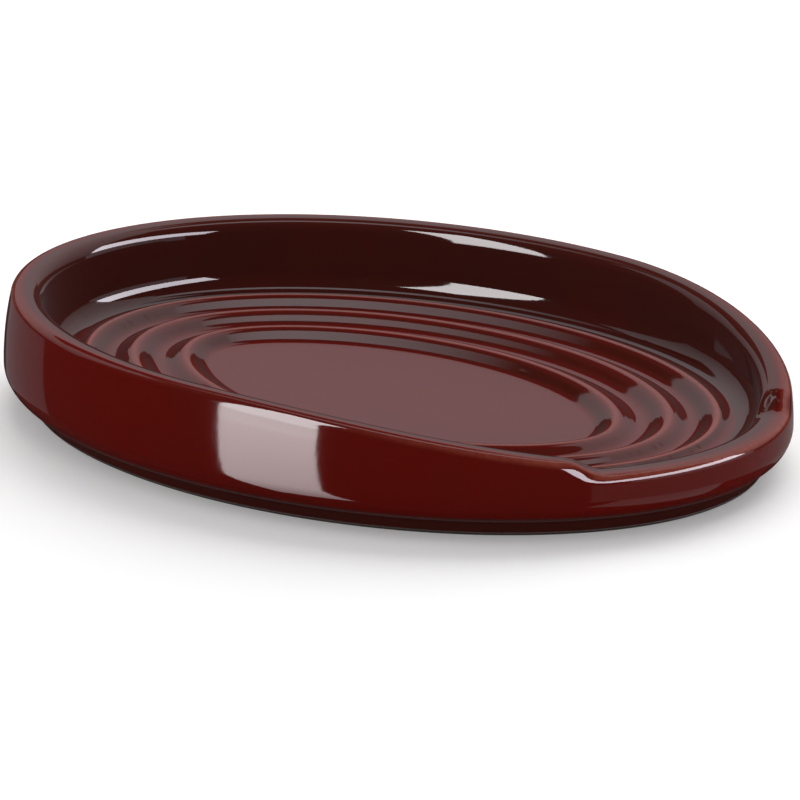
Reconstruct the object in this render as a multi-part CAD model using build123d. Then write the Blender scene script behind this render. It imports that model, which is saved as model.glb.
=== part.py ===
from build123d import *
import math
import os

# An oval stoneware spoon rest: a shallow dish with three raised ribs and a low lip at its +X end.
# The clay is one pressed and fired piece, and the glaze is a coat of glass fused to it.
# Millimetres. X runs along the dish towards the lip, Y across it, and Z up from the table, which is at zero.

# The dish at its widest, and its heights above the table
overall_length = 150.0
overall_width = 111.6
rim_height = 20.1
lip_height = 11.1

# The wall: widest at its belly, it curves in to its lean at the rim and rounds in below the belly. Its
# thickness is at the rim, and its inside slopes on by its spread down to the trough.
wall_thickness = 4.3
wall_lean = 1.6
belly_height = 7.2
inner_wall_spread = 1.3
rim_outer_radius = 1.6
rim_inner_radius = 2.5

# The foot ring, and the band at its bottom that is wiped clean of glaze
foot_setback = 4.7
foot_width = 4.6
foot_height = 2.8
foot_edge_radius = 0.9
foot_root_radius = 1.2
bare_foot_height = 0.7

# The floor, from its underside to its top inside the smallest rib
underside_height = 2.3
floor_height = 6.0

# The ribs: the outermost crest's inset from the belly, and the steps from crest to crest. A flank takes up
# its share of a step. The whole bowl sits a little towards the lip.
outer_rib_inset = 13.5
outer_rib_step = 8.1
inner_rib_step = 8.8
rib_flank_share = 0.36
rib_depth = 2.0
rib_rise = 0.42
inner_crest_height = 8.1
rib_crest_radius = 1.5
rib_root_radius = 1.6
trough_radius = 3.6
bowl_shift = 1.0

# The rim from the side: level, then falling on a long arc, then a step down to the lip
fall_start = 4.0
fall_radius = 268.0
step_start = 62.6
step_run = 2.5
step_radius = 3.0

# The glaze coat, the overlap of forms that are joined inside the clay, and one overrun for every cut
glaze_thickness = 0.4
overlap = 1.3
overrun = 5.0

# The most that a rounding takes of the side beside it, and of the wall's thickness at the rim. The share of
# the wall that is made from outside, where its two forms meet.
rounding_share = 0.9
outer_rim_share = 0.38
inner_rim_share = 0.6
join_share = 0.7

half_length = overall_length / 2
half_width = overall_width / 2
floor_middle = (underside_height + floor_height) / 2
foot_middle = foot_setback + foot_width / 2
wall_middle = wall_lean + wall_thickness / 2
wall_join = wall_lean + join_share * wall_thickness
inner_rib_inset = outer_rib_inset + outer_rib_step + inner_rib_step


def rounded(face, point, radius):
    """A flat section with its corner at a point rounded, by no more than its sides leave room for."""
    tip = face.vertices().sort_by_distance((*point, 0))[0]
    sides = [edge for edge in face.edges() if tip in edge.vertices()]
    ends = [side.vertices().sort_by_distance(tip)[-1] for side in sides]
    spread = math.radians((ends[0].center() - tip.center()).get_angle(ends[1].center() - tip.center()))
    room = rounding_share * min(side.length for side in sides)
    return fillet(tip, min(radius, room * math.tan(spread / 2)))


def swept_ring(section, shift=0.0):
    """A section carried round the belly, with its X pointing outwards from the belly and its Y up."""
    path = Pos(shift, 0, 0) * Wire([Edge.make_ellipse(half_length, half_width)])
    return sweep(Pos(half_length + shift, 0, 0) * (Plane.XZ * section), path=path)


def oval_block(inset, shift, bottom, top):
    """An upright oval block, inset from the belly."""
    face = Pos(shift, 0, bottom) * Ellipse(half_length - inset, half_width - inset)
    return extrude(face, top - bottom)


def outer_section(skin):
    """The outer part of the ring: foot, rounded belly and curved wall, taken down and up past its ends."""
    rise = rim_height - belly_height
    wall_radius = (rise ** 2 + wall_lean ** 2) / (2 * wall_lean)
    top = rim_height + overrun
    top_inset = wall_radius - math.sqrt(wall_radius ** 2 - (top - belly_height) ** 2)
    foot_inside = -foot_setback - foot_width
    foot_root = (-foot_setback, foot_height)
    foot_side = Line((-foot_setback, -overrun), foot_root)
    belly = TangentArc((0, belly_height), foot_root, tangent=(0, -1))
    outside = TangentArc((0, belly_height), (-top_inset, top), tangent=(0, 1))
    inside = Polyline(
        (-top_inset, top),
        (-wall_join, top),
        (-wall_join, belly_height),
        (foot_inside, floor_middle + overlap),
        (foot_inside, -overrun),
        (-foot_setback, -overrun),
    )
    face = make_face(foot_side + belly + outside + inside)
    face = rounded(face, foot_root, foot_root_radius)
    return offset(face, -skin) if skin else face


def bowl_section(skin):
    """The inner part of the ring: inner wall, trough and three rounded ribs, on a buried base."""
    steps = [outer_rib_step, inner_rib_step]
    slope = rib_depth / (rib_flank_share * outer_rib_step)
    peak_rise = rib_crest_radius * (math.hypot(1, slope) - 1)
    inside = -wall_lean - wall_thickness
    wall_foot = inside - inner_wall_spread
    buried = bowl_shift + overlap - wall_join
    place = -outer_rib_inset
    height = inner_crest_height + rib_rise * len(steps) + peak_rise
    crests = [(place, height)]
    trough = (wall_foot, height - (wall_foot - place) * slope)
    roots = []
    for step in steps:
        flank = rib_flank_share * step
        roots.append((place - flank, height - rib_depth))
        place -= step
        height -= rib_rise
        roots.append((place + flank, height - rib_depth))
        crests.append((place, height))
    base = floor_middle - overlap
    end = (place - (height - base) / slope, base)
    top = rim_height + overrun
    inside_top = inside + inner_wall_spread * overrun / (rim_height - trough[1])
    points = [end, (-foot_middle, base), (buried, belly_height), (buried, top), (inside_top, top), trough]
    points += [crests[0], *roots[:2], crests[1], *roots[2:], crests[2]]
    face = make_face(Polyline(*points, close=True))
    for point in crests:
        face = rounded(face, point, rib_crest_radius)
    for point in roots:
        face = rounded(face, point, rib_root_radius)
    face = rounded(face, trough, trough_radius)
    return offset(face, -skin) if skin else face


def rim_cutter(skin):
    """Everything above the rim line, as seen from the side, carried across the dish."""
    reach = half_length + overrun
    top = rim_height + 2 * overrun
    fall = step_start - fall_start
    step_top = (step_start, rim_height - fall_radius + math.sqrt(fall_radius ** 2 - fall ** 2))
    step_foot = (step_start + step_run, lip_height)
    level = Line((-reach, rim_height), (fall_start, rim_height))
    falling = TangentArc((fall_start, rim_height), step_top, tangent=(1, 0))
    rest = Polyline(step_top, step_foot, (reach, lip_height), (reach, top), (-reach, top), (-reach, rim_height))
    face = make_face(level + falling + rest)
    face = rounded(face, step_top, step_radius)
    face = rounded(face, step_foot, step_radius)
    if skin:
        face = offset(face, skin)
    return extrude(Plane.XZ * face, half_width + overrun, both=True)


def beyond_wall_middle(edge):
    """Whether an edge runs outside the oval line through the middle of the wall."""
    middle = edge.position_at(0.5)
    return math.hypot(middle.X / (half_length - wall_middle), middle.Y / (half_width - wall_middle)) > 1


def dish_form(skin):
    """The glazed dish, or with a skin the clay that lies that far under the surface of the glaze."""
    bowl = swept_ring(bowl_section(skin), bowl_shift)
    below = Pos(0, 0, skin) * Box(
        overall_length + overrun,
        overall_width + overrun,
        2 * overrun,
        align=(Align.CENTER, Align.CENTER, Align.MAX),
    )
    wall = swept_ring(outer_section(skin))
    standing = wall - below
    standing = fillet(new_edges(wall, below, combined=standing), foot_edge_radius - skin)
    ring = standing + bowl
    plate = oval_block(foot_middle, 0, underside_height + skin, floor_middle + overlap)
    pad = oval_block(inner_rib_inset, bowl_shift, floor_middle - overlap, floor_height - skin)

    floored = ring + plate
    recess_edge = new_edges(ring, plate, combined=floored).group_by(Axis.Z)[0]
    recess_radius = min(foot_root_radius, rounding_share * (underside_height - foot_edge_radius))
    floored = fillet(recess_edge, recess_radius + skin)

    padded = floored + pad
    padded = fillet(new_edges(floored, pad, combined=padded), rib_root_radius + skin)

    cutter = rim_cutter(skin)
    dish = padded - cutter
    outer_radius = min(rim_outer_radius, outer_rim_share * wall_thickness, rounding_share * step_radius)
    inner_radius = min(rim_inner_radius, inner_rim_share * wall_thickness, rounding_share * step_radius)
    rim = new_edges(padded, cutter, combined=dish)
    dish = fillet([edge for edge in rim if beyond_wall_middle(edge)], outer_radius - skin)
    rim = new_edges(padded, cutter, combined=dish)
    return fillet([edge for edge in rim if not beyond_wall_middle(edge)], inner_radius - skin)


def save(shape, name):
    """One file per piece, named after it."""
    shape.label = name
    export_step(shape, os.path.join("parts", name + ".step"))


glazed_dish = dish_form(0)
clay_under_glaze = dish_form(glaze_thickness)
wiped_band = Box(
    overall_length + overrun,
    overall_width + overrun,
    bare_foot_height,
    align=(Align.CENTER, Align.CENTER, Align.MIN),
)
stoneware_body = clay_under_glaze + (glazed_dish & wiped_band)
glaze_coat = glazed_dish - wiped_band - clay_under_glaze

os.makedirs("parts", exist_ok=True)
save(stoneware_body, "stoneware_body")
save(glaze_coat, "glaze_coat")
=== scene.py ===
import math

import bpy
import numpy as np
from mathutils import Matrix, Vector


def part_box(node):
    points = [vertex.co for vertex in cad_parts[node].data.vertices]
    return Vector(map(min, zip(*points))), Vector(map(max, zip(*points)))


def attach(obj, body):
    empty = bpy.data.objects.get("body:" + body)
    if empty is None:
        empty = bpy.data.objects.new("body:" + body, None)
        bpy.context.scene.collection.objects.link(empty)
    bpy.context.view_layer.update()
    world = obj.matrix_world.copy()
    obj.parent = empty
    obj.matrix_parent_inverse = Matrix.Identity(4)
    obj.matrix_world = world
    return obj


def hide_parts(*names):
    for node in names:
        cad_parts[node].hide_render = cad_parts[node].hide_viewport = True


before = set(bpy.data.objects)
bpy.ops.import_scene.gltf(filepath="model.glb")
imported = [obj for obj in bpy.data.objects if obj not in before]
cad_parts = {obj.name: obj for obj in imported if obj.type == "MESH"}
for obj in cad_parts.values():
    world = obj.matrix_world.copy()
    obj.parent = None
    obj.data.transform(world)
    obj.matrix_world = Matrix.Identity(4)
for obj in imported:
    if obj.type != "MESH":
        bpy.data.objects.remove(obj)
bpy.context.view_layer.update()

# The glaze coat. An iron red glass, fused to the clay all over the top and down the outside to the foot. It
# is darker in the hollows, partly where it pools and partly as painted shade, and paler and more orange over
# the rim and the ribs, partly where it runs thin and partly as a painted highlight.
mm = 0.001
glaze_thickness = 0.4 * mm
# The deep colour serves both for thick, pooled glaze and for painted shade.
deep_glaze_and_shade = (0.07, 0.011, 0.0075, 1)
middle_glaze = (0.122, 0.0046, 0.0024, 1)
# The pale colour serves both for thin glaze and for painted highlight.
pale_glaze_and_highlight = (0.36, 0.085, 0.055, 1)

# It is painted pale where the section turns over an edge by more than the least turn: on the outside of the
# rim round one slope, more towards both ends, and on the ribs close to their level crests. This is partly
# the glaze breaking thin and partly a painted highlight. It is painted darker in the bowl where a rib's side
# is steeper than the slope limit, partly glaze pooling and partly painted shade, over the rim's inner edge
# and down the wall's inside, which is painted shade, and at the foot, which is painted shade under the
# belly's overhang.
thin_reach = 0.5 * mm
least_turn = 0.15
rim_paleness = 0.55
rim_slope = 0.7
rim_band = 0.25
rib_paleness = 0.4
crest_band = 0.045
pool_and_shade_slope = 0.96
foot_shade_height = 1.5 * mm

# The coat follows the dish, which is pressed in an oval mould. So one section, carried round the oval, gives
# the foot ring, the belly, the wall, the trough inside it and the three ribs round the floor. Only the rim
# changes: it is level round the back, falls along the sides and steps down to a low lip at the +X end.
box_low, box_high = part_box("glaze_coat")
half_length = (box_high.x - box_low.x) / 2
half_width = (box_high.y - box_low.y) / 2
rim_height = box_high.z
lip_height = 11.1 * mm
fall_start = 4.0 * mm
fall_radius = 268.0 * mm
step_start = 62.6 * mm
step_run = 2.5 * mm
step_radius = 3.0 * mm

belly_height = 7.2 * mm
wall_lean = 1.6 * mm
wall_thickness = 4.3 * mm
inner_wall_spread = 1.3 * mm
rim_outer_radius = 1.6 * mm
rim_inner_radius = 2.5 * mm

foot_setback = 4.7 * mm
foot_width = 4.6 * mm
foot_height = 2.8 * mm
foot_edge_radius = 0.9 * mm
foot_root_radius = 1.2 * mm
bare_foot_height = 0.7 * mm
underside_height = 2.3 * mm

bowl_shift = 1.0 * mm
crest_insets = (13.5 * mm, 21.6 * mm, 30.4 * mm)
crest_heights = (8.94 * mm, 8.52 * mm, 8.1 * mm)
rib_flank = 3.0 * mm
rib_depth = 2.0 * mm
rib_crest_radius = 1.5 * mm
floor_flank = 4.5 * mm
trough_radius = 3.6 * mm
floor_edge_height = 6.1 * mm
floor_middle_height = 5.6 * mm

# How finely the surfaces are divided, round the oval and along the section. Under the glaze, one row in
# four is kept.
columns = 480
point_spacing = 1.6 * mm
arc_steps = 13
wave_steps = 22
hidden_row_step = 4


def arc(centre, radius, first, last, count):
    """Points on a circle, from one angle to another in equal steps."""
    angle = np.linspace(first, last, count)
    return np.stack([centre[0] + radius * np.cos(angle), centre[1] + radius * np.sin(angle)], -1)


def filled(path, spacing):
    """The same path with points added on its straight runs, at most one spacing apart."""
    lengths = np.linalg.norm(np.diff(path, axis=0), axis=1)
    counts = np.maximum(1, np.ceil(lengths / spacing)).astype(int)
    marks = [np.linspace(place, place + 1, count, endpoint=False) for place, count in enumerate(counts)]
    marks = np.concatenate([*marks, [len(counts)]])
    steps = np.arange(len(path))
    return np.stack([np.interp(marks, steps, path[:, 0]), np.interp(marks, steps, path[:, 1])], -1)


def rounded_path(corners, radii, count):
    """Straight runs joined by arcs. Each arc touches both of its runs, and its centre lies on the line that
    halves their corner."""
    corners = np.array(corners)
    stretches = [corners[:1]]
    for before, corner, after, radius in zip(corners[:-2], corners[1:-1], corners[2:], radii):
        back = (before - corner) / np.linalg.norm(before - corner)
        ahead = (after - corner) / np.linalg.norm(after - corner)
        half_angle = math.acos(float(back @ ahead)) / 2
        bisector = (back + ahead) / np.linalg.norm(back + ahead)
        centre = corner + bisector * radius / math.sin(half_angle)
        spoke = corner + back * radius / math.tan(half_angle) - centre
        turn = math.copysign(math.pi - 2 * half_angle, ahead[0] * back[1] - ahead[1] * back[0])
        first = math.atan2(spoke[1], spoke[0])
        stretches.append(arc(centre, radius, first, first + turn, count))
    return np.concatenate([*stretches, corners[-1:]])


def wave(first, last, depth, count):
    """A smooth run from one point to another, level at both ends: half a cosine between the two heights,
    less a whole cosine of a depth for the hollow in between. It leaves out the last point."""
    share = np.arange(count) / count
    height = first[1] + (last[1] - first[1]) * (1 - np.cos(np.pi * share)) / 2
    height = height - depth * (1 - np.cos(2 * np.pi * share)) / 2
    return np.stack([first[0] + (last[0] - first[0]) * share, height], -1)


def rim_line(x):
    """The rim's height at x: level, then a circle's fall, then a straight step with rounded corners. The
    fall's last few points make room for the first of these."""
    fall_steps = 60
    kept_steps = 54
    rounding_steps = 12
    fall_angle = math.asin((step_start - fall_start) / fall_radius)
    sag = fall_radius - math.sqrt(fall_radius ** 2 - (step_start - fall_start) ** 2)
    fall_centre = (fall_start, rim_height - fall_radius)
    fall = arc(fall_centre, fall_radius, math.pi / 2, math.pi / 2 - fall_angle, fall_steps)
    step_top = (step_start, rim_height - sag)
    step_foot = (step_start + step_run, lip_height)
    reach = 2 * half_length
    corners = [fall[kept_steps], step_top, step_foot, (reach, lip_height)]
    step = rounded_path(corners, [step_radius, step_radius], rounding_steps)
    path = np.concatenate([[(-reach, rim_height)], fall[:kept_steps], step])
    return np.interp(x, path[:, 0], path[:, 1])


def oval(angle):
    """The belly's oval at an angle, and its outward normal: the oval's gradient, made unit length."""
    x, y = half_length * np.cos(angle), half_width * np.sin(angle)
    normal_x, normal_y = np.cos(angle) / half_length, np.sin(angle) / half_width
    size = np.hypot(normal_x, normal_y)
    return x, y, normal_x / size, normal_y / size


def spread_angles(count):
    """Angles round the oval, evenly spaced along it but closer together at the rim's step to the lip."""
    crowded_zone = 4 * mm
    crowding = 2
    fine = np.linspace(0, 2 * np.pi, 4001)
    x, y, _, _ = oval(fine)
    near_step = np.exp(-((x[1:] - step_start) / crowded_zone) ** 2)
    steps = np.hypot(np.diff(x), np.diff(y)) * (1 + crowding * near_step)
    travelled = np.concatenate([[0], np.cumsum(steps)])
    return np.interp(np.arange(count) / count * travelled[-1], travelled, fine)


def placed(angle, inset, height, shift):
    """Points at an inset from the belly's oval, square to it, and at a height, moved along X by a shift."""
    x, y, normal_x, normal_y = oval(angle)
    height = np.broadcast_to(height, np.broadcast_shapes(np.shape(height), np.shape(inset)))
    return np.stack(np.broadcast_arrays(x - inset * normal_x + shift, y - inset * normal_y, height), -1)


def outside_section(angle):
    """Insets, heights and shifts of the glazed section, from the foot up over the rim and in to the floor's
    edge, as rows by columns. The wall is an arc that leaves the belly upright, the ribs are waves, and the
    rim is a level run between two arcs. Each arc's centre lies its radius below the rim line, where a curve
    that runs that radius inside the wall's face reaches that height."""
    belly_radius = ((belly_height - foot_height) ** 2 + foot_setback ** 2) / (2 * foot_setback)
    root_height = belly_height - math.sqrt((belly_radius + foot_root_radius) ** 2
                                           - (foot_setback - foot_root_radius - belly_radius) ** 2)
    root_centre = (foot_setback - foot_root_radius, root_height)
    root_end = math.atan2(belly_height - root_height, belly_radius - root_centre[0])
    foot_edge = arc((foot_setback + foot_edge_radius, foot_edge_radius), foot_edge_radius,
                    math.pi + math.asin(1 - bare_foot_height / foot_edge_radius), math.pi, 4)
    foot_root = arc(root_centre, foot_root_radius, 0, root_end, 8)
    belly = arc((belly_radius, belly_height), belly_radius, root_end + math.pi, math.pi, 14)
    low = filled(np.concatenate([foot_edge, foot_root, belly[1:]]), point_spacing)

    slope = rib_depth / rib_flank
    peak_rise = rib_crest_radius * (math.hypot(1, slope) - 1)
    wall_foot = wall_lean + wall_thickness + inner_wall_spread
    outer_crest = (crest_insets[0], crest_heights[0] + peak_rise)
    trough = (wall_foot, outer_crest[1] - (outer_crest[0] - wall_foot) * slope)
    wall_top = (wall_lean + wall_thickness, rim_height)
    beyond_crest = (outer_crest[0] + rib_flank, outer_crest[1] - rib_depth)
    corners = [wall_top, trough, outer_crest, beyond_crest]
    inside = rounded_path(corners, [trough_radius, rib_crest_radius], arc_steps)
    wall_face = filled(inside[:arc_steps + 1], point_spacing / 8)
    ribs = [inside[arc_steps + 1:3 * arc_steps // 2 + 1]]
    crests = list(zip(crest_insets, crest_heights))
    for crest, next_crest in zip(crests[:-1], crests[1:]):
        ribs.append(wave(crest, next_crest, rib_depth - peak_rise, wave_steps))
    floor_edge = (crest_insets[2] + floor_flank, floor_edge_height)
    ribs.append(wave(crests[-1], floor_edge, 0, wave_steps))
    ribs = np.concatenate(ribs)

    wall_radius = ((rim_height - belly_height) ** 2 + wall_lean ** 2) / (2 * wall_lean)
    x, _, normal_x, _ = oval(angle)

    def height_at(inset, shift):
        return rim_line(x - inset * normal_x + shift)

    across = np.linspace(0, 1, 10)[:, None]
    outer_inset = wall_lean + rim_outer_radius * across
    top = height_at(outer_inset, 0)
    rise = top - rim_outer_radius - belly_height
    centre = wall_radius - np.sqrt((wall_radius - rim_outer_radius) ** 2 - rise ** 2)
    start = np.pi - np.arcsin(rise / (wall_radius - rim_outer_radius))
    sweep = start + (np.pi / 2 - start) * across
    outer_rim = (centre + rim_outer_radius * np.cos(sweep),
                 top - rim_outer_radius + rim_outer_radius * np.sin(sweep))

    climb = np.linspace(0, 1, 11)[1:-1, None]
    wall_height = belly_height + climb * (outer_rim[1][0] - belly_height)
    outer_wall = (wall_radius - np.sqrt(wall_radius ** 2 - (wall_height - belly_height) ** 2), wall_height)

    travel = np.concatenate([[0], np.cumsum(np.hypot(*np.diff(wall_face, axis=0).T))])
    along = np.gradient(wall_face, travel, axis=0)
    facing = np.arctan2(along[:, 0], -along[:, 1])
    centre_height = wall_face[:, 1] - rim_inner_radius * np.sin(facing)
    top = height_at(wall_lean + wall_thickness - rim_inner_radius * (1 - across), bowl_shift)
    met = np.interp(rim_inner_radius - top, -centre_height, travel)
    tilt = np.interp(met, travel, facing)
    face = np.interp(met, travel, wall_face[:, 0])
    sweep = np.pi / 2 + (tilt - np.pi / 2) * across
    inner_rim = (face + rim_inner_radius * (np.cos(sweep) - np.cos(tilt)),
                 top - rim_inner_radius + rim_inner_radius * np.sin(sweep))

    flat = np.linspace(0, 1, 4)[1:-1, None]
    flat_inset = outer_rim[0][-1] + flat * (inner_rim[0][0] - outer_rim[0][-1])
    flat_top = (flat_inset, height_at(flat_inset, flat * bowl_shift))

    drop = np.linspace(0, 1, 24)[1:, None]
    spot = met[-1] + drop * (travel[-1] - met[-1])
    inner_wall = (np.interp(spot, travel, wall_face[:, 0]), np.interp(spot, travel, wall_face[:, 1]))

    stretches = [(low, 0), (outer_wall, 0), (outer_rim, 0), (flat_top, flat),
                 (inner_rim, 1), (inner_wall, 1), (ribs, 1)]
    insets, heights, shifts = [], [], []
    for form, shift in stretches:
        inset, height = form if isinstance(form, tuple) else (form[:, :1], form[:, 1:])
        insets.append(inset + 0 * x)
        heights.append(height + 0 * x)
        shifts.append(shift * bowl_shift + 0 * insets[-1])
    return np.concatenate(insets), np.concatenate(heights), np.concatenate(shifts)


def outwards(insets, heights):
    """The section's outward direction at each row, as shares inwards and up: its own run, turned left."""
    along, up = np.gradient(insets, axis=0), np.gradient(heights, axis=0)
    size = np.hypot(along, up)
    return -up / size, along / size


def sunk(insets, heights, depth):
    """A section moved into the clay: each point goes that depth against its outward direction."""
    inwards, level = outwards(insets, heights)
    return insets - depth * inwards, heights - depth * level


def turning(insets, heights, reach):
    """How far the section turns round an edge, as a share of a right angle: the change of its direction at
    each row, spread over the rows beside it by exp(-(distance / reach) ** 2). Below zero in a hollow."""
    along, up = np.diff(insets, axis=0), np.diff(heights, axis=0)
    travel = np.concatenate([0 * along[:1], np.cumsum(np.hypot(along, up), axis=0)])
    direction = np.arctan2(up, along)
    turn = np.zeros_like(insets)
    turn[1:-1] = direction[:-1] - direction[1:]
    apart = (travel[:, None] - travel[None]) / reach
    return (np.exp(-apart ** 2) * turn[None]).sum(1) / (math.pi / 2)


def floor_rows(edge, middle_height, count):
    """Rows from the floor's edge towards its middle. The floor rises as the distance from there squared."""
    share = np.linspace(1, 0, count + 2)[1:-1, None, None]
    middle = np.array([bowl_shift, 0, 0])
    rows = middle + share * (edge - middle)
    rows[..., 2] = middle_height + share[..., 0] ** 2 * (edge[:, 2] - middle_height)
    return rows


def skin(name, rows, first_middle, last_middle):
    """A closed mesh from rows of points, each row a closed loop. Each end row closes in a middle point."""
    count, width = rows.shape[:2]
    points = np.concatenate([rows.reshape(-1, 3), [last_middle, first_middle]])
    here = np.arange(count * width).reshape(count, width)
    beside = np.roll(here, -1, axis=1)
    quads = np.stack([here[:-1], beside[:-1], beside[1:], here[1:]], -1)
    last_fan = np.stack([here[-1], beside[-1], np.full(width, len(points) - 2)], -1)
    first_fan = np.stack([beside[0], here[0], np.full(width, len(points) - 1)], -1)
    faces = quads.reshape(-1, 4).tolist() + last_fan.tolist() + first_fan.tolist()
    mesh = bpy.data.meshes.new(name)
    mesh.from_pydata(points.tolist(), [], faces)
    mesh.polygons.foreach_set("use_smooth", np.ones(len(mesh.polygons), bool))
    mesh.update()
    piece = bpy.data.objects.new(name, mesh)
    bpy.context.scene.collection.objects.link(piece)
    return piece


def paint(piece, name, values, before):
    """Stores one number a point on the mesh. The values follow the rows before them, and the rest is 0."""
    numbers = np.zeros(len(piece.data.vertices), np.float32)
    first = before.size // 3
    numbers[first:first + values.size] = values.ravel()
    piece.data.attributes.new(name, "FLOAT", "POINT").data.foreach_set("value", numbers)


angles = spread_angles(columns)
insets, heights, shifts = outside_section(angles)
edge = placed(angles, insets, heights, shifts)
top_rows = np.concatenate([edge, floor_rows(edge[-1], floor_middle_height, 14)])
sunk_insets, sunk_heights = sunk(insets, heights, glaze_thickness)
sunk_edge = placed(angles, sunk_insets, sunk_heights, shifts)
kept = np.unique(np.append(np.arange(0, len(insets), hidden_row_step), len(insets) - 1))
clay_middle_height = floor_middle_height - glaze_thickness
clay_rows = np.concatenate([sunk_edge[kept], floor_rows(sunk_edge[-1], clay_middle_height, 3)])


def noise(nodes, position, scale, detail):
    """A noise texture on the piece's own coordinates, in lumps of about one over its scale metres."""
    node = nodes.new("ShaderNodeTexNoise")
    node.inputs["Scale"].default_value = scale
    node.inputs["Detail"].default_value = detail
    nodes.id_data.links.new(position, node.inputs["Vector"])
    return node.outputs["Fac"]


def maths(nodes, operation, first, second, clamp=False):
    """One arithmetic node on two values, each a socket or a number."""
    node = nodes.new("ShaderNodeMath")
    node.operation = operation
    node.use_clamp = clamp
    for socket, value in zip(node.inputs, (first, second)):
        if isinstance(value, (int, float)):
            socket.default_value = value
        else:
            nodes.id_data.links.new(value, socket)
    return node.outputs[0]


def mixed(nodes, share, first, second):
    """One colour blended into another by a share, each a socket or a colour."""
    node = nodes.new("ShaderNodeMix")
    node.data_type = "RGBA"
    nodes.id_data.links.new(share, node.inputs["Factor"])
    for socket, value in ((node.inputs["A"], first), (node.inputs["B"], second)):
        if isinstance(value, tuple):
            socket.default_value = value
        else:
            nodes.id_data.links.new(value, socket)
    return node.outputs["Result"]


def glaze_material():
    """Clear glass over iron red, faintly clouded: deep where it is thick and where shade is painted, orange
    where it is thin and where a highlight is painted.
    """
    material = bpy.data.materials.new("oxblood_glaze")
    material.use_nodes = True
    nodes, links = material.node_tree.nodes, material.node_tree.links
    shader = nodes["Principled BSDF"]
    position = nodes.new("ShaderNodeTexCoord").outputs["Object"]
    breaks_and_highlight = nodes.new("ShaderNodeAttribute")
    breaks_and_highlight.attribute_name = "breaks_and_highlight"
    pooled_and_shade = nodes.new("ShaderNodeAttribute")
    pooled_and_shade.attribute_name = "pooled_and_shade"
    cloud = noise(nodes, position, 45, 3)
    mottle = noise(nodes, position, 900, 2)
    fine = noise(nodes, position, 2600, 1)
    ripple = noise(nodes, position, 320, 2)

    drift = maths(nodes, "MULTIPLY", maths(nodes, "SUBTRACT", cloud, 0.5), 0.9)
    # The depth share adds the painted shade and the glaze's pooling to random clouds of thicker glaze.
    depth = maths(nodes, "ADD", pooled_and_shade.outputs["Fac"], drift, True)
    body = mixed(nodes, depth, middle_glaze, deep_glaze_and_shade)
    # The pale share is partly thin glaze over edges and partly a painted highlight on the rim's rounding and
    # the rib crests.
    paleness_and_highlight = maths(nodes, "MULTIPLY", breaks_and_highlight.outputs["Fac"], maths(nodes, "ADD", mottle, 0.55), True)
    links.new(mixed(nodes, paleness_and_highlight, body, pale_glaze_and_highlight), shader.inputs["Base Color"])
    shader.inputs["IOR"].default_value = 1.5
    links.new(maths(nodes, "ADD", maths(nodes, "MULTIPLY", cloud, 0.05), 0.03), shader.inputs["Roughness"])
    bump = nodes.new("ShaderNodeBump")
    bump.inputs["Strength"].default_value = 0.35
    bump.inputs["Distance"].default_value = 0.00002
    links.new(maths(nodes, "ADD", ripple, maths(nodes, "MULTIPLY", fine, 0.04)), bump.inputs["Height"])
    links.new(bump.outputs["Normal"], shader.inputs["Normal"])
    return material


glaze = glaze_material()
glaze_piece = skin("glaze_top", np.concatenate([clay_rows[::-1], top_rows]),
                   (bowl_shift, 0, clay_middle_height), (bowl_shift, 0, floor_middle_height))

_, level = outwards(insets, heights)
convex = np.clip((turning(insets, heights, thin_reach) - least_turn) * 8, 0, 1)
ends = np.clip(1.7 * np.abs(edge[..., 0]) / half_length - 0.55, 0.12, 1)
in_bowl = shifts > bowl_shift / 2
in_ribs = insets > crest_insets[0] - rib_flank
# Pale on the rim's outer rounding near one slope, stronger towards the ends, and along level rib crests:
# partly thin glaze, partly painted highlight.
on_rim = rim_paleness * ~in_bowl * ends * np.exp(-((level - rim_slope) / rim_band) ** 2)
on_ribs = rib_paleness * in_ribs * np.exp(-((1 - level) / crest_band) ** 2)
# Darker on rib sides steeper than the slope limit, partly pooling and partly painted shade, and all down the
# wall's inside, where it is painted shade.
bowl_pools_and_shade = np.where(in_ribs, (pool_and_shade_slope - level) * 7, 1)
# Darker at the foot, fading out by three times the foot shade height: painted shade under the belly's
# overhang.
pools_and_shade = np.where(in_bowl, bowl_pools_and_shade, 3 - heights / foot_shade_height)
paint(glaze_piece, "breaks_and_highlight", convex * (on_rim + on_ribs), clay_rows)
paint(glaze_piece, "pooled_and_shade", np.clip(pools_and_shade, 0, 1), clay_rows)
glaze_piece.data.materials.append(glaze)
glaze_piece.visible_glossy = False
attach(glaze_piece, "root")
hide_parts("glaze_coat")

# The glaze under the dish. The same glass covers the recess inside the foot ring, from the wiped band on the
# ring's inner side round the corner and over the whole flat underside.
recess_side = foot_setback + foot_width
inner_edge_centre = (recess_side - foot_edge_radius, foot_edge_radius)
band_start = math.asin(1 - bare_foot_height / foot_edge_radius)
recess_root = (recess_side + foot_root_radius, underside_height - foot_root_radius)
recess = np.concatenate([
    [(recess_side + 3 * foot_root_radius, underside_height)],
    arc(recess_root, foot_root_radius, math.pi / 2, math.pi, 9),
    arc(inner_edge_centre, foot_edge_radius, 0, -band_start, 3),
])
recess = filled(recess, point_spacing / 2)
half_angles = angles[::2]
recess_insets, recess_heights = recess[:, :1] + 0 * half_angles, recess[:, 1:] + 0 * half_angles
recess_rows = placed(half_angles, recess_insets, recess_heights, 0)
roof_rows = placed(half_angles, *sunk(recess_insets, recess_heights, glaze_thickness), 0)


def level_rows(edge, count):
    """Rows from the middle of a level oval out towards its edge."""
    share = np.linspace(0, 1, count + 2)[1:-1, None, None]
    return edge * (share * np.array([1, 1, 0]) + np.array([0, 0, 1]))


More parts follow.
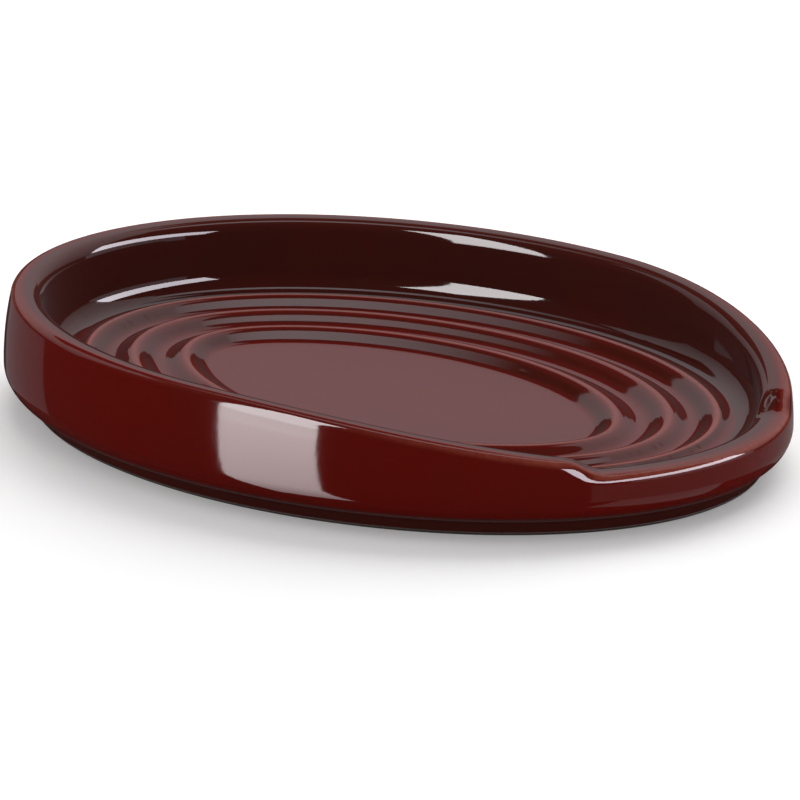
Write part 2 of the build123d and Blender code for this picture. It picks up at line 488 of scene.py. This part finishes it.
roof_rows = np.concatenate([level_rows(roof_rows[0], 10), roof_rows])
recess_rows = np.concatenate([level_rows(recess_rows[0], 10), recess_rows])
roof_height = underside_height + glaze_thickness
under_piece = skin("glaze_underside", np.concatenate([recess_rows, roof_rows[::-1]]),
                   (0, 0, underside_height), (0, 0, roof_height))
under_piece.data.materials.append(glaze)
under_piece.visible_glossy = False
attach(under_piece, "root")
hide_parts("glaze_coat")

# The stoneware body. Brown, slightly gritty clay, pressed in a mould and fired; its brown is made dark as
# painted shade, since the band it shows lies in the shadow under the dish. It shows only at the bottom of
# the foot ring, where the glaze was wiped off so that the dish didn't stick to the kiln shelf.
outer_edge_centre = (foot_setback + foot_edge_radius, foot_edge_radius)
foot_bottom = np.concatenate([
    arc(inner_edge_centre, foot_edge_radius, -band_start, -math.pi / 2, 5),
    arc(outer_edge_centre, foot_edge_radius, -math.pi / 2, band_start - math.pi, 5),
])
foot_bottom = filled(foot_bottom, point_spacing / 2)
foot_insets, foot_heights = foot_bottom[:, :1] + 0 * half_angles, foot_bottom[:, 1:] + 0 * half_angles
foot_rows = placed(half_angles, foot_insets, foot_heights, 0)


def clay_material():
    """Matt fired clay, made dark as painted shade, paler and darker in soft clouds, with fine dark grit."""
    material = bpy.data.materials.new("fired_stoneware")
    material.use_nodes = True
    nodes, links = material.node_tree.nodes, material.node_tree.links
    shader = nodes["Principled BSDF"]
    position = nodes.new("ShaderNodeTexCoord").outputs["Object"]
    cloud = noise(nodes, position, 60, 3)
    grit = noise(nodes, position, 2200, 2)
    # Both cloud colours are kept dark: painted shade for the foot's shadowed bottom band.
    body = mixed(nodes, cloud, (0.06, 0.03, 0.022, 1), (0.1, 0.055, 0.04, 1))
    specks = maths(nodes, "MULTIPLY", maths(nodes, "SUBTRACT", grit, 0.6), 6.0, True)
    links.new(mixed(nodes, specks, body, (0.02, 0.012, 0.01, 1)), shader.inputs["Base Color"])
    shader.inputs["Roughness"].default_value = 0.8
    bump = nodes.new("ShaderNodeBump")
    bump.inputs["Strength"].default_value = 0.5
    bump.inputs["Distance"].default_value = 0.0001
    links.new(grit, bump.inputs["Height"])
    links.new(bump.outputs["Normal"], shader.inputs["Normal"])
    return material


clay_piece = skin("stoneware_clay", np.concatenate([roof_rows, foot_rows, clay_rows[:, ::2]]),
                  (0, 0, roof_height), (bowl_shift, 0, clay_middle_height))
clay_piece.data.materials.append(clay_material())
clay_piece.visible_glossy = False
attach(clay_piece, "root")
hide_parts("stoneware_body")

# The studio, which isn't part of the object: a camera, a pale floor, two soft lights, and glowing patches
# and dark sheets that only the glaze's reflections see. The floor, the lights and the dish's own pieces
# aren't seen in them: some of the patches and sheets stand for these.
camera_distance = 1615.4 * mm
azimuth = math.radians(42.5365)
elevation = math.radians(17.046)
aim_up = 4.99 * mm
aim_right = 0.24 * mm
level = math.cos(elevation)
towards = Vector((math.sin(azimuth) * level, -math.cos(azimuth) * level, math.sin(elevation)))
right = Vector((math.cos(azimuth), math.sin(azimuth), 0))
up = towards.cross(right)
bowl_middle = Vector((bowl_shift, 0, 0))
camera_data = bpy.data.cameras.new("camera")
camera_data.lens = 428.5
camera_data.sensor_width = 36
camera_data.clip_end = 10
camera = bpy.data.objects.new("camera", camera_data)
camera.location = bowl_middle + towards * camera_distance
aim = bowl_middle + right * aim_right + up * aim_up
camera.rotation_euler = (aim - camera.location).to_track_quat("-Z", "Y").to_euler()
bpy.context.scene.collection.objects.link(camera)
bpy.context.scene.camera = camera
bpy.context.scene.view_settings.view_transform = "Standard"


def glowing(name, mesh, colour, rise=0.0, start=1.0):
    """A sheet that only reflections see. It glows by its colour times the sum of start and rise times Z."""
    material = bpy.data.materials.new(name)
    material.use_nodes = True
    nodes, links = material.node_tree.nodes, material.node_tree.links
    nodes.clear()
    glow = nodes.new("ShaderNodeEmission")
    glow.inputs["Color"].default_value = colour
    place = nodes.new("ShaderNodeSeparateXYZ")
    links.new(nodes.new("ShaderNodeTexCoord").outputs["Object"], place.inputs[0])
    strength = maths(nodes, "ADD", maths(nodes, "MULTIPLY", place.outputs["Z"], rise), start)
    links.new(maths(nodes, "MAXIMUM", strength, 0.0), glow.inputs["Strength"])
    links.new(glow.outputs[0], nodes.new("ShaderNodeOutputMaterial").inputs["Surface"])
    mesh.materials.append(material)
    piece = bpy.data.objects.new(name, mesh)
    piece.visible_camera = False
    piece.visible_diffuse = False
    piece.visible_shadow = False
    bpy.context.scene.collection.objects.link(piece)
    return piece


studio_radius = 2.0


def card(name, bearing, low, high, width, colour):
    """A glowing flat card, at a bearing and between two elevations in degrees."""
    middle = math.radians((low + high) / 2)
    away = Vector((math.cos(math.radians(bearing)) * math.cos(middle),
                   math.sin(math.radians(bearing)) * math.cos(middle), math.sin(middle)))
    half_wide = studio_radius * math.tan(math.radians(width / 2))
    half_high = studio_radius * math.tan(math.radians((high - low) / 2))
    mesh = bpy.data.meshes.new(name)
    corners = [(-half_wide, -half_high, 0), (half_wide, -half_high, 0),
               (half_wide, half_high, 0), (-half_wide, half_high, 0)]
    mesh.from_pydata(corners, [], [(0, 1, 2, 3)])
    piece = glowing(name, mesh, colour)
    piece.location = away * studio_radius
    piece.rotation_euler = (-away).to_track_quat("Z", "Y").to_euler()


def sheet(name, points, colour, rise=0.0, start=1.0):
    """A glowing sheet through a grid of points, rows by columns."""
    here = np.arange(points[..., 0].size).reshape(points.shape[:2])
    faces = np.stack([here[:-1, :-1], here[:-1, 1:], here[1:, 1:], here[1:, :-1]], -1).reshape(-1, 4)
    mesh = bpy.data.meshes.new(name)
    mesh.from_pydata(points.reshape(-1, 3).tolist(), [], faces.tolist())
    glowing(name, mesh, colour, rise, start)


def directions(left, right, low, high, across, upwards):
    """Unit vectors on a grid: the cosines and sines of bearings and elevations, given in degrees."""
    bearings = np.radians(np.linspace(left, right, across))
    elevations = np.radians(np.linspace(low, high, upwards))
    bearing, rise = np.meshgrid(bearings, elevations)
    return np.stack([np.cos(bearing) * np.cos(rise), np.sin(bearing) * np.cos(rise), np.sin(rise)], -1)


def dome(name, left, right, low, high, colour, rise=0.0):
    """A glowing patch of a sphere round the dish, between two bearings and two elevations in degrees."""
    sheet(name, studio_radius * directions(left, right, low, high, 25, 13), colour, rise)


def arch(name, low_tilt, high_tilt, left, right, colour, rise, start):
    """A glowing strip overhead, where slopes that face between two bearings and whose upright lines lean to
    between two elevations mirror it to the camera. A mirrored line of sight is the line less twice its share
    along the slope's upright, times that upright."""
    upright = directions(left, right, low_tilt, high_tilt, 61, 9)
    sight = -np.array(towards)
    sheet(name, studio_radius * (sight - 2 * (upright @ sight)[..., None] * upright), colour, rise, start)


# What the glaze mirrors: a tall window on the left with its foot and its image in the table, a box light on
# the right with the dimmer room under it, the table in front of that, the room's back wall, which is paler
# higher up, a dim patch low on the far left, and a pale strip overhead.
window_sides = (-118.5, -95.5)
dome("window", *window_sides, 5, 55, (12.6, 12.2, 12.4, 1))
dome("window_foot", *window_sides, 0, 5, (10.2, 9.4, 9.6, 1))
dome("window_in_floor", *window_sides, -46, 0, (9.6, 8.7, 8.9, 1), 0.5)
card("right_box", 26, 15, 37, 79, (11.6, 11.0, 12.0, 1))
dome("under_right_box", -5, 62, -4, 13, (0.6, 0.57, 0.62, 1))
card("lit_floor", 20, -52, -26, 50, (0.45, 0.42, 0.42, 1))
dome("table_right", -20, 125, -26, -4, (0.21, 0.2, 0.2, 1))
for part, first, last, low, high in (("right", 58, 118, 7, 60), ("middle", 118, 145, 11, 44),
                                     ("far", 145, 176, 9, 29), ("left", 176, 200, 7, 45)):
    dome("backdrop_" + part, first, last, low, high, (0.15, 0.153, 0.16, 1), 2.4)
dome("low_left", 150, 186, -20, -3, (0.16, 0.16, 0.17, 1))
arch("strip_overhead", 54, 60, -112, 16, (1.95, 1.9, 2.0, 1), 1.75, -2.49)

# A dark sheet inside the clay of the wall. In the glaze's reflections it stands for the near wall, which
# hides the window from the far side, and for the foot of the far wall.
shade_inset = 3.5 * mm
shade_bottom = -6 * mm
round_wall = np.linspace(0, 2 * np.pi, 241)
x, _, normal_x, _ = oval(round_wall)
shade_top = rim_line(x - shade_inset * normal_x) - 2.5 * mm
shade_top = np.where(np.sin(round_wall) < 0, shade_top, np.minimum(shade_top, 12 * mm))
low_edge = placed(round_wall, shade_inset, shade_bottom + 0 * shade_top, 0)
high_edge = placed(round_wall, shade_inset, shade_top, 0)
sheet("wall_shade", np.stack([low_edge, high_edge]), (0.05, 0.04, 0.04, 1))

# A dark ring on the table under the belly's overhang, as the shadow there looks to the glaze above it
shade_height = 0.1 * mm
round_foot = np.linspace(0, 2 * np.pi, 181)
inner_edge = placed(round_foot, foot_setback + foot_edge_radius, shade_height + 0 * round_foot, 0)
outer_edge = placed(round_foot, -1 * mm, shade_height + 0 * round_foot, 0)
sheet("contact_shade", np.stack([inner_edge, outer_edge]), (0.02, 0.018, 0.018, 1))

# The floor, a pale matt table. It glows a little for the camera alone, so that it comes out white.
floor_mesh = bpy.data.meshes.new("floor")
floor_mesh.from_pydata([(-4, -4, 0), (4, -4, 0), (4, 4, 0), (-4, 4, 0)], [], [(0, 1, 2, 3)])
floor_piece = bpy.data.objects.new("floor", floor_mesh)
floor_piece.visible_glossy = False
bpy.context.scene.collection.objects.link(floor_piece)
floor_material = bpy.data.materials.new("floor")
floor_material.use_nodes = True
nodes, links = floor_material.node_tree.nodes, floor_material.node_tree.links
floor_shader = nodes["Principled BSDF"]
floor_shader.inputs["Base Color"].default_value = (0.86, 0.85, 0.85, 1)
floor_shader.inputs["Roughness"].default_value = 0.9
floor_shader.inputs["Specular IOR Level"].default_value = 0
floor_shader.inputs["Emission Color"].default_value = (1, 1, 1, 1)
seen = nodes.new("ShaderNodeLightPath")
floor_glow = maths(nodes, "MULTIPLY", seen.outputs["Is Camera Ray"], 0.2)
links.new(floor_glow, floor_shader.inputs["Emission Strength"])
floor_mesh.materials.append(floor_material)

# The room. The camera sees it white, and the glaze's reflections see it almost black between the patches.
world = bpy.data.worlds.new("studio")
world.use_nodes = True
nodes, links = world.node_tree.nodes, world.node_tree.links
path = nodes.new("ShaderNodeLightPath")
sky = nodes["Background"]
room = mixed(nodes, path.outputs["Is Camera Ray"], (0.52, 0.52, 0.52, 1), (1, 1, 1, 1))
links.new(mixed(nodes, path.outputs["Is Glossy Ray"], room, (0.03, 0.03, 0.03, 1)), sky.inputs["Color"])
bpy.context.scene.world = world


def soft_light(name, size, energy, place):
    """A square light at a place, turned towards the dish and left out of its reflections."""
    data = bpy.data.lights.new(name, "AREA")
    data.size = size
    data.energy = energy
    light = bpy.data.objects.new(name, data)
    light.location = place
    light.rotation_euler = (-light.location).to_track_quat("-Z", "Y").to_euler()
    light.visible_glossy = False
    bpy.context.scene.collection.objects.link(light)


soft_light("overhead", 1.8, 34, (-0.6, 1.25, 1.15))
soft_light("left_fill", 1.0, 4, (-1.7, -0.8, 0.8))
